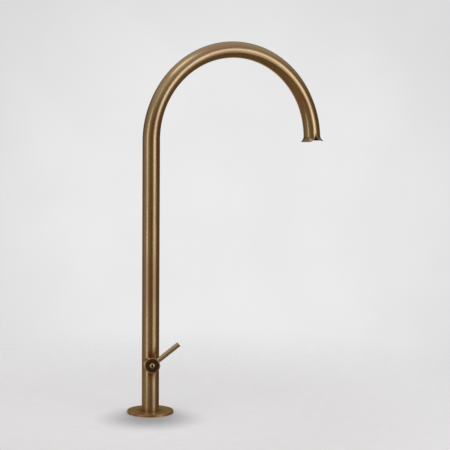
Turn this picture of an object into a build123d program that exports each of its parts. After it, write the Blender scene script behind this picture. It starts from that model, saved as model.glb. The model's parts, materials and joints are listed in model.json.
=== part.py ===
from build123d import *

# Garden tap: a deck-mounted swan-neck tap in aged brass with a quarter-turn side valve.
# Millimetres, +Z up. The origin is the centre of the base flange's underside, at deck
# level on the column's axis. The spout reaches out along +X. The valve's boss stands out
# of the column towards -Y, turned a little towards -X.

import os
from math import cos, radians, sin

# Driving dimensions of the tube
tube_radius = 14.0
bore_radius = 12.0
bend_radius = 148.0
bend_start_height = 441.0
bend_angle = 176.5
straight_end = 12.0

# Driving dimensions of the mouth: two lips belled out of the tube's end, parted by a slit
# on each side whose edges curve away into the rim
flare_radius = 19.2
flare_height = 10.0
slit_height = 13.6
slit_half_width = 0.5
lip_corner_radius = 13.8

# Driving dimensions of the base
flange_radius = 37.5
flange_thickness = 4.0
deck_thickness = 20.0
pipe_thread_radius = 20.955 / 2
tail_length = 62.0
tail_bore_radius = 7.0

# Driving dimensions of the valve. Stations are distances from the column's axis along
# the valve's axis.
valve_height = 82.0
valve_turn = 17.5
boss_radius = 12.5
boss_station = 16.0
hub_radius = 12.5
hub_back_station = 16.4
hub_front_station = 30.0
lever_radius = 4.0
lever_station = 23.9
lever_angle = 37.9
lever_reach = 54.8

# Gaps: between turning surfaces, round O-rings, and between pieces that lie loose in
# each other
running_gap = 0.04
o_ring_gap = 0.02
loose_gap = 0.1

# How far a cut from the middle of the tube runs past its outer surface
cut_overrun = 1.0

# Directions and planes of the valve: on valve_plane x points right as seen from the
# front, y points up and z points out of the boss. On valve_section x is a radius and y
# is the station.
turn = radians(valve_turn)
valve_out = (-sin(turn), -cos(turn), 0)
valve_right = (cos(turn), -sin(turn), 0)
valve_centre = (0, 0, valve_height)
valve_plane = Plane(origin=valve_centre, x_dir=valve_right, z_dir=valve_out)
valve_section = Plane(origin=valve_centre, x_dir=valve_right, z_dir=(0, 0, -1))
valve_axis = Axis(valve_centre, valve_out)

# Directions and planes of the lever: on lever_plane z points out along the rod.
lever_direction = Vector(valve_right) * cos(radians(lever_angle)) + Vector(
    0, 0, sin(radians(lever_angle))
)
lever_centre = Vector(valve_centre) + Vector(valve_out) * lever_station
lever_plane = Plane(origin=lever_centre, x_dir=valve_out, z_dir=lever_direction)

# Directions and planes of the mouth: on mouth_section x is a radius in the plane of the
# bend and y is the height above the rim, back along the tube.
bend = radians(bend_angle)
bend_end_x = bend_radius * (1 - cos(bend))
bend_end_z = bend_start_height + bend_radius * sin(bend)
flare_start_x = bend_end_x + (straight_end - flare_height) * sin(bend)
flare_start_z = bend_end_z + (straight_end - flare_height) * cos(bend)
rim_x = bend_end_x + straight_end * sin(bend)
rim_z = bend_end_z + straight_end * cos(bend)
mouth_section = Plane(
    origin=(rim_x, 0, rim_z), x_dir=(-cos(bend), 0, sin(bend)), z_dir=(0, -1, 0)
)
mouth_axis = Axis((rim_x, 0, rim_z), (-sin(bend), 0, -cos(bend)))

# Heights and radii of the swivel, from the top of the valve body up
body_foot = flange_thickness - 1.0
body_top = 116.0
slip_ring_foot = body_top + loose_gap
slip_ring_thickness = 0.5
tube_foot = slip_ring_foot + slip_ring_thickness
socket_radius = 10.0
socket_foot = 102.0
spigot_top = 154.0
spigot_radius = bore_radius - 0.2
spigot_bore_radius = 7.5
bearing_feet = (118.0, 146.0)
bearing_length = 5.0
bearing_groove_radius = 10.6
spigot_ring_feet = (126.0, 132.0)
spigot_ring_groove_length = 3.0
spigot_ring_radius = 1.25
retaining_groove_foot = 138.5
retaining_groove_length = 5.0
retaining_groove_radius = 10.2

# Stations and radii of the headwork, from the seat outwards
seat_station = -2.0
pocket_radius = 8.0
thread_radius = 9.0
thread_start = 10.5
headwork_ring_start = 14.5
headwork_ring_radius = 0.6
collar_radius = 11.0
collar_front = 18.9
disc_radius = 6.5
disc_thickness = 2.5
fixed_disc_start = -0.2
moving_disc_start = fixed_disc_start + disc_thickness + o_ring_gap
moving_disc_end = fixed_disc_start + 2 * disc_thickness
drive_slot_start = moving_disc_end - 1.0
spindle_flange_start = 8.8
spindle_flange_end = 10.3
headwork_shoulder = 10.8
spindle_radius = 4.0
spindle_ring_starts = (12.2, 14.9)
spindle_ring_groove_length = 1.3
spindle_ring_groove_radius = 2.9
spindle_ring_radius = 0.55
circlip_start = 19.0
circlip_thickness = 0.7
circlip_groove_radius = 3.75
spline_start = 19.9
spline_radius = 3.9
spline_depth = 0.35
spline_teeth = 20
spindle_end = 25.5

# Stations and radii inside the hub
hub_pocket_radius = 11.5
hub_web_back = 20.0
hub_web_front = 27.0
hub_recess_radius = 11.1
lever_seat_radius = 11.7
stud_radius = 2.5
stud_root = 4.6
screw_radius = 2.5


def outline(points, plane):
    """Face bounded by straight lines through the points, on the given plane."""
    with BuildSketch(plane) as shape:
        with BuildLine():
            Polyline(*points, close=True)
        make_face()
    return shape.sketch


def ring_outline(inner, outer, low, high, plane):
    """Rectangular section of a ring: two radii and two distances along the axis."""
    return outline(((inner, low), (outer, low), (outer, high), (inner, high)), plane)


def round_outline(ring_radius, section_radius, middle, plane):
    """Round section of an O-ring at a distance along the axis."""
    with BuildSketch(plane) as shape:
        with Locations((ring_radius, middle)):
            Circle(section_radius)
    return shape.sketch


def spline_points(radius):
    """Corners of the serrated shaft: tips on the radius, roots a spline depth below."""
    points = []
    for corner in range(2 * spline_teeth):
        reach = radius - spline_depth * (corner % 2)
        angle = radians(180 * corner / spline_teeth)
        points.append((reach * cos(angle), reach * sin(angle)))
    return points


def cut_ports(middle_angle):
    """Two kidney-shaped ports, opposite each other, cut from the sketch of a disc."""
    port_radius = 4.0
    port_width = 2.6
    port_arc = 46
    for side in (0, 180):
        start_angle = middle_angle + side - port_arc / 2
        SlotArc(
            CenterArc((0, 0), port_radius, start_angle, port_arc, mode=Mode.PRIVATE),
            height=port_width,
            mode=Mode.SUBTRACT,
        )


# Base flange: a round plate with a seat for the column's foot on top and a recess for
# the gasket underneath
flange_edge_radius = 0.6
flange_hole_radius = pipe_thread_radius + 0.3
gasket_inner_radius = 22.0
gasket_outer_radius = 35.0
gasket_thickness = 1.5
with BuildPart() as base_flange:
    with BuildSketch():
        Circle(flange_radius)
    extrude(amount=flange_thickness)
    fillet(base_flange.faces().sort_by(Axis.Z)[-1].edges(), radius=flange_edge_radius)
    with Locations((0, 0, flange_thickness)):
        CounterBoreHole(
            radius=flange_hole_radius,
            counter_bore_radius=tube_radius + running_gap,
            counter_bore_depth=flange_thickness - body_foot,
            depth=flange_thickness,
        )
    revolve(
        ring_outline(
            gasket_inner_radius, gasket_outer_radius, 0, gasket_thickness, Plane.XZ
        ),
        mode=Mode.SUBTRACT,
    )

# Deck gasket: a flat rubber ring that lies flush in the flange's recess
with BuildPart() as deck_gasket:
    revolve(
        ring_outline(
            gasket_inner_radius + loose_gap,
            gasket_outer_radius - loose_gap,
            0,
            gasket_thickness,
            Plane.XZ,
        )
    )

# Mounting shank: the hollow threaded tail. It screws into the body, passes the deck and
# ends in the pipe thread of the inlet, set off by a narrow run-out groove.
shank_top = 20.0
run_out_top = -43.0
run_out_foot = -46.0
run_out_radius = 9.2
tail_chamfer = 1.0
with BuildPart() as mounting_shank:
    revolve(
        outline(
            (
                (tail_bore_radius, shank_top),
                (pipe_thread_radius, shank_top),
                (pipe_thread_radius, run_out_top),
                (run_out_radius, run_out_top),
                (run_out_radius, run_out_foot),
                (pipe_thread_radius, run_out_foot),
                (pipe_thread_radius, tail_chamfer - tail_length),
                (pipe_thread_radius - tail_chamfer, -tail_length),
                (tail_bore_radius, -tail_length),
            ),
            Plane.XZ,
        )
    )

# Shank seal: a fibre washer between the shank's top and the body
shank_seal_top = shank_top + 2.0
shank_seal_inner_radius = 6.5
shank_seal_outer_radius = 10.0
with BuildPart() as shank_seal:
    revolve(
        ring_outline(
            shank_seal_inner_radius,
            shank_seal_outer_radius,
            shank_top,
            shank_seal_top,
            Plane.XZ,
        )
    )

# Clamp under the deck: rubber washer, steel washer and hexagonal back nut
rubber_washer_radius = 25.0
rubber_washer_foot = -deck_thickness - 3.0
steel_washer_radius = 24.0
steel_washer_foot = rubber_washer_foot - 2.0
with BuildPart() as underdeck_rubber_washer:
    revolve(
        ring_outline(
            flange_hole_radius,
            rubber_washer_radius,
            rubber_washer_foot,
            -deck_thickness,
            Plane.XZ,
        )
    )

with BuildPart() as underdeck_steel_washer:
    revolve(
        ring_outline(
            flange_hole_radius,
            steel_washer_radius,
            steel_washer_foot,
            rubber_washer_foot,
            Plane.XZ,
        )
    )

nut_foot = steel_washer_foot - 8.0
nut_flat_radius = 15.0
nut_face_radius = nut_flat_radius - 0.5
nut_bevel_radius = nut_flat_radius + 2.5
nut_bevel = 1.3
with BuildPart() as lock_nut:
    with BuildSketch(Plane.XY.offset(nut_foot)):
        RegularPolygon(nut_flat_radius, side_count=6, major_radius=False)
        Circle(pipe_thread_radius, mode=Mode.SUBTRACT)
    extrude(amount=steel_washer_foot - nut_foot)
    revolve(
        outline(
            (
                (0, nut_foot),
                (nut_face_radius, nut_foot),
                (nut_bevel_radius, nut_foot + nut_bevel),
                (nut_bevel_radius, steel_washer_foot - nut_bevel),
                (nut_face_radius, steel_washer_foot),
                (0, steel_washer_foot),
            ),
            Plane.XZ,
        ),
        mode=Mode.INTERSECT,
    )

# Valve body: the lower column with its side boss. Water comes up the drilling behind
# the valve, passes the seat into the valve pocket and leaves through the drilling above.
plenum_radius = 8.0
plenum_top = shank_seal_top + 3.0
seat_port_radius = 4.0
inlet_station = -6.5
inlet_radius = 3.5
inlet_top = valve_height + seat_port_radius + 1.0
outlet_station = 4.0
outlet_radius = 5.0
boss_edge_radius = 0.3
boss_mouth_radius = 10.3
with BuildPart() as valve_body:
    with BuildSketch(Plane.XY.offset(body_foot)):
        Circle(tube_radius)
    extrude(amount=body_top - body_foot)
    with BuildSketch(valve_plane):
        Circle(boss_radius)
    extrude(amount=boss_station)
    fillet(
        valve_body.faces().sort_by(valve_axis)[-1].edges(), radius=boss_edge_radius
    )
    # socket and plenum for the shank
    with BuildSketch(Plane.XY.offset(body_foot)):
        Circle(pipe_thread_radius)
    extrude(amount=shank_seal_top - body_foot, mode=Mode.SUBTRACT)
    with BuildSketch(Plane.XY.offset(shank_seal_top)):
        Circle(plenum_radius)
    extrude(amount=plenum_top - shank_seal_top, mode=Mode.SUBTRACT)
    # upright drillings before and behind the valve's seat
    with BuildSketch(Plane.XY.offset(shank_seal_top)):
        with Locations((inlet_station * valve_out[0], inlet_station * valve_out[1])):
            Circle(inlet_radius)
    extrude(amount=inlet_top - shank_seal_top, mode=Mode.SUBTRACT)
    with BuildSketch(Plane.XY.offset(valve_height)):
        with Locations((outlet_station * valve_out[0], outlet_station * valve_out[1])):
            Circle(outlet_radius)
    extrude(amount=socket_foot - valve_height, mode=Mode.SUBTRACT)
    # socket for the spigot
    with BuildSketch(Plane.XY.offset(socket_foot)):
        Circle(socket_radius)
    extrude(amount=body_top - socket_foot, mode=Mode.SUBTRACT)
    # pocket, thread and mouth for the headwork, and the port through its seat
    revolve(
        outline(
            (
                (0, inlet_station),
                (seat_port_radius, inlet_station),
                (seat_port_radius, seat_station),
                (pocket_radius, seat_station),
                (pocket_radius, thread_start),
                (thread_radius, thread_start),
                (thread_radius, headwork_ring_start),
                (boss_mouth_radius, headwork_ring_start),
                (boss_mouth_radius, boss_station),
                (0, boss_station),
            ),
            valve_section,
        ),
        axis=valve_axis,
        mode=Mode.SUBTRACT,
    )

# Headwork body: the cartridge housing, open at its nose, with two side windows, a
# thread, and a round collar with two spanner flats
housing_radius = pocket_radius - 0.2
housing_bore_radius = disc_radius + loose_gap
nose_station = seat_station + loose_gap
window_start = moving_disc_end + loose_gap
window_width = 8.0
spanner_flats = 19.0
key_width = 3.0
key_reach = disc_radius + 0.7
with BuildPart() as headwork_body:
    revolve(
        outline(
            (
                (housing_bore_radius, nose_station),
                (housing_radius, nose_station),
                (housing_radius, thread_start),
                (thread_radius, thread_start),
                (thread_radius, boss_station),
                (collar_radius, boss_station),
                (collar_radius, collar_front),
                (spindle_radius + running_gap, collar_front),
                (spindle_radius + running_gap, headwork_shoulder),
                (housing_bore_radius, headwork_shoulder),
            ),
            valve_section,
        ),
        axis=valve_axis,
    )
    # windows above and below, for the water to leave
    with BuildSketch(valve_plane.offset(window_start)):
        Rectangle(window_width, 2 * thread_radius)
    extrude(amount=spindle_flange_start - window_start, mode=Mode.SUBTRACT)
    # slots in the nose for the fixed disc's keys
    with BuildSketch(valve_plane.offset(nose_station)):
        Rectangle(2 * key_reach, key_width)
    extrude(
        amount=fixed_disc_start + disc_thickness - nose_station, mode=Mode.SUBTRACT
    )
    # spanner flats on the collar
    with BuildSketch(valve_plane.offset(boss_station)):
        with Locations((0, -spanner_flats), (0, spanner_flats)):
            Rectangle(2 * collar_radius, spanner_flats)
    extrude(amount=collar_front - boss_station, mode=Mode.SUBTRACT)

# Headwork O-ring: in the mouth of the boss, round the housing's thread
with BuildPart() as headwork_o_ring:
    revolve(
        round_outline(
            thread_radius + headwork_ring_radius + o_ring_gap,
            headwork_ring_radius,
            (headwork_ring_start + boss_station) / 2,
            valve_section,
        ),
        axis=valve_axis,
    )

# Seat seal: a rubber ring between the seat and the fixed disc
seat_seal_inner_radius = 5.5
with BuildPart() as seat_seal:
    revolve(
        ring_outline(
            seat_seal_inner_radius,
            disc_radius - loose_gap,
            seat_station,
            fixed_disc_start,
            valve_section,
        ),
        axis=valve_axis,
    )

# Ceramic discs: the fixed one is keyed in the housing, the moving one is slotted for the
# spindle's blade. The ports line up where the lever is level, and are shut where it
# stands upright.
upright = 90
blade_thickness = 3.6
with BuildPart() as fixed_disc:
    with BuildSketch(valve_plane.offset(fixed_disc_start)):
        Circle(disc_radius)
        Rectangle(2 * key_reach, key_width)
        cut_ports(upright)
    extrude(amount=disc_thickness)

with BuildPart() as moving_disc:
    with BuildSketch(valve_plane.offset(moving_disc_start)):
        Circle(disc_radius)
        cut_ports(upright + lever_angle)
    extrude(amount=moving_disc_end - moving_disc_start)
    with BuildSketch(valve_plane.offset(drive_slot_start)):
        Rectangle(
            3 * disc_radius, blade_thickness + loose_gap, rotation=lever_angle
        )
    extrude(amount=disc_thickness, mode=Mode.SUBTRACT)

# Spindle: blade, thrust flange, shaft with two O-ring grooves and a circlip groove, and
# the serrated end with its tapped hole
thrust_radius = disc_radius - 0.2
blade_width = 2 * thrust_radius - 0.2
tapped_hole_root = 17.5
ring_cuts = []
for groove_start in spindle_ring_starts:
    groove_end = groove_start + spindle_ring_groove_length
    ring_cuts.append((spindle_radius, groove_start))
    ring_cuts.append((spindle_ring_groove_radius, groove_start))
    ring_cuts.append((spindle_ring_groove_radius, groove_end))
    ring_cuts.append((spindle_radius, groove_end))
with BuildPart() as spindle:
    revolve(
        outline(
            (
                (0, spindle_flange_start),
                (thrust_radius, spindle_flange_start),
                (thrust_radius, spindle_flange_end),
                (spindle_radius, spindle_flange_end),
                *ring_cuts,
                (spindle_radius, circlip_start),
                (circlip_groove_radius, circlip_start),
                (circlip_groove_radius, circlip_start + circlip_thickness),
                (spindle_radius, circlip_start + circlip_thickness),
                (spindle_radius, spline_start),
                (0, spline_start),
            ),
            valve_section,
        ),
        axis=valve_axis,
    )
    with BuildSketch(valve_plane.offset(drive_slot_start)):
        Rectangle(blade_width, blade_thickness, rotation=lever_angle)
    extrude(amount=spindle_flange_start - drive_slot_start)
    with BuildSketch(valve_plane.offset(spline_start)):
        Polygon(*spline_points(spline_radius), align=None)
    extrude(amount=spindle_end - spline_start)
    with BuildSketch(valve_plane.offset(tapped_hole_root)):
        Circle(screw_radius)
    extrude(amount=spindle_end - tapped_hole_root, mode=Mode.SUBTRACT)

# Spindle O-rings: one in each groove of the spindle
with BuildPart() as spindle_o_rings:
    for groove_start in spindle_ring_starts:
        revolve(
            round_outline(
                spindle_radius + o_ring_gap - spindle_ring_radius,
                spindle_ring_radius,
                groove_start + spindle_ring_groove_length / 2,
                valve_section,
            ),
            axis=valve_axis,
        )

# Slip washer: takes the spindle's thrust under the housing's shoulder
slip_washer_gap = 0.05
with BuildPart() as slip_washer:
    revolve(
        ring_outline(
            spindle_radius + loose_gap,
            disc_radius - loose_gap,
            spindle_flange_end + slip_washer_gap,
            headwork_shoulder,
            valve_section,
        ),
        axis=valve_axis,
    )

# Circlip: an open spring-steel ring in the spindle's groove
circlip_radius = 5.6
circlip_opening = 3.4
with BuildPart() as circlip:
    with BuildSketch(valve_plane.offset(circlip_start)):
        Circle(circlip_radius)
        Circle(circlip_groove_radius, mode=Mode.SUBTRACT)
        with Locations((0, -circlip_radius)):
            Rectangle(circlip_opening, circlip_radius, mode=Mode.SUBTRACT)
    extrude(amount=circlip_thickness)

# Hub glide ring: a thin plastic ring on the boss's face, under the hub's back edge
glide_ring_set_back = 0.3
with BuildPart() as hub_glide_ring:
    revolve(
        ring_outline(
            hub_pocket_radius + loose_gap,
            boss_radius - glide_ring_set_back,
            boss_station,
            hub_back_station - loose_gap,
            valve_section,
        ),
        axis=valve_axis,
    )

# Handle hub: a dished cap. Its web is serrated to fit the spindle, bored for the screw,
# and has a flat seat and a tapped hole for the lever in its side.
hub_edge_radius = 0.4
screw_hole_radius = screw_radius + 0.1
with BuildPart() as handle_hub:
    revolve(
        outline(
            (
                (hub_pocket_radius, hub_back_station),
                (hub_radius, hub_back_station),
                (hub_radius, hub_front_station),
                (hub_recess_radius, hub_front_station),
                (hub_recess_radius, hub_web_front),
                (screw_hole_radius, hub_web_front),
                (screw_hole_radius, hub_web_back),
                (hub_pocket_radius, hub_web_back),
            ),
            valve_section,
        ),
        axis=valve_axis,
    )
    fillet(handle_hub.faces().sort_by(valve_axis)[-1].edges(), radius=hub_edge_radius)
    with BuildSketch(valve_plane.offset(hub_web_back)):
        Polygon(*spline_points(spline_radius + o_ring_gap), align=None)
    extrude(amount=spindle_end + loose_gap - hub_web_back, mode=Mode.SUBTRACT)
    with BuildSketch(lever_plane.offset(lever_seat_radius)):
        Circle(lever_radius)
    extrude(amount=hub_radius, mode=Mode.SUBTRACT)
    with BuildSketch(lever_plane.offset(stud_root)):
        Circle(stud_radius)
    extrude(amount=lever_seat_radius - stud_root, mode=Mode.SUBTRACT)

# Lever rod: a plain round rod with a threaded stud at its root
lever_edge = 0.5
with BuildPart() as lever_rod:
    with BuildSketch(lever_plane.offset(lever_seat_radius)):
        Circle(lever_radius)
    extrude(amount=lever_reach - lever_seat_radius)
    chamfer(
        lever_rod.faces().sort_by(Axis(lever_centre, lever_direction))[-1].edges(),
        length=lever_edge,
    )
    with BuildSketch(lever_plane.offset(stud_root)):
        Circle(stud_radius)
    extrude(amount=lever_seat_radius - stud_root)

# Handle screw: a button head, domed down to its edge, with a hexagon socket
screw_root = 18.5
head_radius = 4.75
head_edge_station = hub_web_front + 0.3
head_land_radius = 2.1
head_station = hub_web_front + 2.75
head_bulge = 0.6
hexagon_flat_radius = 1.5
hexagon_depth = 1.7
with BuildPart() as handle_screw:
    with BuildSketch(valve_section):
        with BuildLine():
            Polyline(
                (head_land_radius, head_station),
                (0, head_station),
                (0, screw_root),
                (screw_radius, screw_root),
                (screw_radius, hub_web_front),
                (head_radius, hub_web_front),
                (head_radius, head_edge_station),
            )
            SagittaArc(
                (head_radius, head_edge_station),
                (head_land_radius, head_station),
                -head_bulge,
            )
        make_face()
    revolve(axis=valve_axis)
    with BuildSketch(valve_plane.offset(head_station - hexagon_depth)):
        RegularPolygon(hexagon_flat_radius, side_count=6, major_radius=False)
    extrude(amount=hexagon_depth, mode=Mode.SUBTRACT)

# Swivel spigot: screws into the body's top and carries the tube on two bearing rings,
# with two O-rings and the retaining groove for the grub screw between them
spigot_thread_foot = socket_foot + 0.2
spigot_edge = 1.0
spigot_ring_groove_radius = bore_radius - 2 * (spigot_ring_radius + o_ring_gap)
spigot_grooves = [
    (retaining_groove_foot, retaining_groove_length, retaining_groove_radius)
]
for foot in bearing_feet:
    spigot_grooves.append((foot, bearing_length, bearing_groove_radius))
for foot in spigot_ring_feet:
    spigot_grooves.append((foot, spigot_ring_groove_length, spigot_ring_groove_radius))
with BuildPart() as swivel_spigot:
    revolve(
        ring_outline(
            spigot_bore_radius, spigot_radius, body_top, spigot_top, Plane.XZ
        )
    )
    top_edges = swivel_spigot.faces().sort_by(Axis.Z)[-1].edges()
    chamfer(top_edges.sort_by(SortBy.RADIUS)[-1], length=spigot_edge)
    revolve(
        ring_outline(
            spigot_bore_radius, socket_radius, spigot_thread_foot, body_top, Plane.XZ
        )
    )
    for foot, length, groove_radius in spigot_grooves:
        revolve(
            ring_outline(groove_radius, bore_radius, foot, foot + length, Plane.XZ),
            mode=Mode.SUBTRACT,
        )

# Spigot bearings: two plastic rings, each split so that it can be sprung into its groove
bearing_split = 1.0
with BuildPart() as spigot_bearings:
    for foot in bearing_feet:
        revolve(
            ring_outline(
                bearing_groove_radius,
                bore_radius - running_gap,
                foot + loose_gap,
                foot + bearing_length - loose_gap,
                Plane.XZ,
            )
        )
    with BuildSketch(Plane.XY.offset(bearing_feet[0])):
        with Locations((-bore_radius, 0)):
            Rectangle(bore_radius, bearing_split)
    extrude(amount=spigot_top - bearing_feet[0], mode=Mode.SUBTRACT)

# Spigot O-rings: one in each ring groove of the spigot
with BuildPart() as spigot_o_rings:
    for foot in spigot_ring_feet:
        revolve(
            round_outline(
                bore_radius - o_ring_gap - spigot_ring_radius,
                spigot_ring_radius,
                foot + spigot_ring_groove_length / 2,
                Plane.XZ,
            )
        )

# Slip ring: a thin plastic ring under the tube's foot, set back from the surface
slip_ring_set_back = 0.4
with BuildPart() as slip_ring:
    revolve(
        ring_outline(
            bore_radius + loose_gap,
            tube_radius - slip_ring_set_back,
            slip_ring_foot,
            tube_foot,
            Plane.XZ,
        )
    )

# Spout tube: up, over in one bend and down to the belled and slit mouth. The flare's
# inner and outer walls are one arc, shifted by the tube's wall.
flare_growth = flare_radius - tube_radius
flare_arc_radius = (flare_height**2 + flare_growth**2) / (2 * flare_growth)
flare_bore_radius = bore_radius + flare_growth
lip_corner_reach = slit_half_width + lip_corner_radius
lip_corner_foot = slit_height - lip_corner_radius
grub_height = retaining_groove_foot + retaining_groove_length / 2
grub_radius = 2.0
with BuildPart() as spout_tube:
    with BuildLine(Plane.XZ) as spout_path:
        Line((0, tube_foot), (0, bend_start_height))
        CenterArc((bend_radius, bend_start_height), bend_radius, 180, -bend_angle)
        Line((bend_end_x, bend_end_z), (flare_start_x, flare_start_z))
    with BuildSketch(Plane.XY.offset(tube_foot)):
        Circle(tube_radius)
        Circle(bore_radius, mode=Mode.SUBTRACT)
    sweep(path=spout_path.line)
    # bell mouth
    with BuildSketch(mouth_section):
        with BuildLine():
            RadiusArc(
                (tube_radius, flare_height), (flare_radius, 0), -flare_arc_radius
            )
            Line((flare_radius, 0), (flare_bore_radius, 0))
            RadiusArc(
                (flare_bore_radius, 0), (bore_radius, flare_height), flare_arc_radius
            )
            Line((bore_radius, flare_height), (tube_radius, flare_height))
        make_face()
    revolve(axis=mouth_axis)
    # slits, cut through both sides at once
    with BuildSketch(mouth_section):
        with BuildLine():
            CenterArc((lip_corner_reach, slit_height), lip_corner_radius, 180, 90)
            Line((lip_corner_reach, lip_corner_foot), (-lip_corner_reach, lip_corner_foot))
            CenterArc((-lip_corner_reach, slit_height), lip_corner_radius, 270, 90)
            ThreePointArc(
                (-slit_half_width, slit_height),
                (0, slit_height + slit_half_width),
                (slit_half_width, slit_height),
            )
        make_face()
    extrude(amount=flare_radius + cut_overrun, both=True, mode=Mode.SUBTRACT)
    # tapped hole for the grub screw, on the side away from the valve
    with BuildSketch(Plane.ZX):
        with Locations((grub_height, 0)):
            Circle(grub_radius)
    extrude(amount=tube_radius + cut_overrun, mode=Mode.SUBTRACT)

# Spout grub screw: a socket set screw with a reduced point that runs in the groove
grub_head = tube_radius - 0.2
grub_shoulder = bore_radius
grub_tip = retaining_groove_radius + 0.3
grub_point_radius = 1.4
grub_flat_radius = 1.0
grub_socket_depth = 1.5
with BuildPart() as spout_grub_screw:
    with BuildSketch(Plane.ZX.offset(grub_shoulder)):
        with Locations((grub_height, 0)):
            Circle(grub_radius)
    extrude(amount=grub_head - grub_shoulder)
    with BuildSketch(Plane.ZX.offset(grub_tip)):
        with Locations((grub_height, 0)):
            Circle(grub_point_radius)
    extrude(amount=grub_shoulder - grub_tip)
    with BuildSketch(Plane.ZX.offset(grub_head - grub_socket_depth)):
        with Locations((grub_height, 0)):
            RegularPolygon(grub_flat_radius, side_count=6, major_radius=False)
    extrude(amount=grub_socket_depth, mode=Mode.SUBTRACT)

# Every piece under its own name, each in a file of its own
pieces = {
    "base_flange": base_flange,
    "deck_gasket": deck_gasket,
    "mounting_shank": mounting_shank,
    "shank_seal": shank_seal,
    "underdeck_rubber_washer": underdeck_rubber_washer,
    "underdeck_steel_washer": underdeck_steel_washer,
    "lock_nut": lock_nut,
    "valve_body": valve_body,
    "headwork_body": headwork_body,
    "headwork_o_ring": headwork_o_ring,
    "seat_seal": seat_seal,
    "fixed_disc": fixed_disc,
    "moving_disc": moving_disc,
    "spindle": spindle,
    "spindle_o_rings": spindle_o_rings,
    "slip_washer": slip_washer,
    "circlip": circlip,
    "hub_glide_ring": hub_glide_ring,
    "handle_hub": handle_hub,
    "lever_rod": lever_rod,
    "handle_screw": handle_screw,
    "swivel_spigot": swivel_spigot,
    "spigot_bearings": spigot_bearings,
    "spigot_o_rings": spigot_o_rings,
    "slip_ring": slip_ring,
    "spout_tube": spout_tube,
    "spout_grub_screw": spout_grub_screw,
}
os.makedirs("parts", exist_ok=True)
for name, piece in pieces.items():
    piece.part.label = name
    export_step(piece.part, f"parts/{name}.step")
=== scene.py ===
"""Looks of a tall garden tap in aged brass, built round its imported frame.

The frame brings the pieces at their places. This file makes the swan neck, the threaded
tail and the back nut anew as worked-out surfaces, gives every piece its finish, and sets
up the pale deck, the soft lights and the camera. Lengths are in metres. The column
stands on the origin, the spout reaches out along +X, and the handle is towards -Y.
"""

import json
import math

import bmesh
import bpy
import numpy
from bpy.props import FloatProperty, FloatVectorProperty, PointerProperty
from mathutils import Matrix, Vector

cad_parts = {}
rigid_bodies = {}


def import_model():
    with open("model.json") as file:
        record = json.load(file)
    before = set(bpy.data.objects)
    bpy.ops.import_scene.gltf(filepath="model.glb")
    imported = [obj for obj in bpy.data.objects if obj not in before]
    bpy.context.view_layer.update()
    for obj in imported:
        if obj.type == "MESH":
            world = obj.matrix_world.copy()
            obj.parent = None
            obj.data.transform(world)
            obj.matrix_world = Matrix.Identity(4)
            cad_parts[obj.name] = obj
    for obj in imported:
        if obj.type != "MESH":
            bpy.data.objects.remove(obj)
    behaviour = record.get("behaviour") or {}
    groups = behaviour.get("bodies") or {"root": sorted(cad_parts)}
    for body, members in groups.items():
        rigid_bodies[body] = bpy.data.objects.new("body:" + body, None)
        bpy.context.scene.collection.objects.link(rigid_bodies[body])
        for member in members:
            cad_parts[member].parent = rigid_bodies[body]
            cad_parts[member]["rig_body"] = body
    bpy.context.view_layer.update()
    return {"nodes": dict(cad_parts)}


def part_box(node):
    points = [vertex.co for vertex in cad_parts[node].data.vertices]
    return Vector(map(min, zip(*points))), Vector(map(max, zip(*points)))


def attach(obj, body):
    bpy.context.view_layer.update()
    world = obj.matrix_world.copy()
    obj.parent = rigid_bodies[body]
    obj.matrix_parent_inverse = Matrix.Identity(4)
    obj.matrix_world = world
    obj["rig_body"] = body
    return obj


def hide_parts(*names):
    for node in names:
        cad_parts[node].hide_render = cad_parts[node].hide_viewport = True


bl_info = {
    "name": "Garden tap",
    "version": (1, 0, 0),
    "blender": (4, 5, 0),
    "location": "View3D > Sidebar > Garden tap",
    "description": "Surfaces, finishes and studio of a garden tap in aged brass",
    "category": "Object",
}

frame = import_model()

MM = 0.001

# Sizes that the frame gives
tube_low, tube_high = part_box("spout_tube")
shank_low, shank_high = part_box("mounting_shank")
nut_low, nut_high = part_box("lock_nut")
hub_low, hub_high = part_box("handle_hub")
screw_low, screw_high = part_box("spout_grub_screw")

# The valve's axis: its place on the column's axis, and the direction out of the boss
hub_middle = (hub_low + hub_high) / 2
valve_centre = Vector((0, 0, hub_middle.z))
valve_out = (hub_middle - valve_centre).normalized()

# Fine shapes of the swan neck: the skirt that hides the swivel's gap, how far the edges
# are rounded, and the turn of the bend over which its flattening sets in
SKIRT_DEPTH = 0.42 * MM
SKIRT_INNER_RADIUS = 13.7 * MM
FOOT_ROUNDING = 0.12 * MM
LIP_ROUNDING = 0.35 * MM
FLATTENING_TURN = math.radians(25)

# Fine shapes of the tail: its bore, and the groove in which the thread runs out
TAIL_BORE_RADIUS = 7 * MM
RUN_OUT_FOOT = -46 * MM
RUN_OUT_TOP = -43 * MM
RUN_OUT_RADIUS = 9.2 * MM

# Hollows on the valve's axis: radius, and how far out their floor and mouth are
HUB_DISH = (11.15 * MM, 27 * MM, 30 * MM)
SCREW_SOCKET = (1.8 * MM, 28.05 * MM, 29.75 * MM)

# The photograph's camera: its place, and its heading, tilt and roll
CAMERA_PLACE = (-0.9103, -2.0826, 0.5195)
CAMERA_HEADING = math.radians(26.611)
CAMERA_TILT = math.radians(-5.348)
CAMERA_ROLL = math.radians(0.476)


# Settings


def setting_maker(kind, **fixed):
    """Function that makes settings of one kind from a name, description and default."""

    def make(name, description, default):
        return kind(name=name, description=description, default=default, **fixed)

    return make


length_setting = setting_maker(FloatProperty, unit="LENGTH")
angle_setting = setting_maker(FloatProperty, subtype="ANGLE", unit="ROTATION")
share_setting = setting_maker(FloatProperty, subtype="FACTOR", min=0, max=1)
colour_setting = setting_maker(FloatVectorProperty, subtype="COLOR", min=0, max=1)


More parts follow.
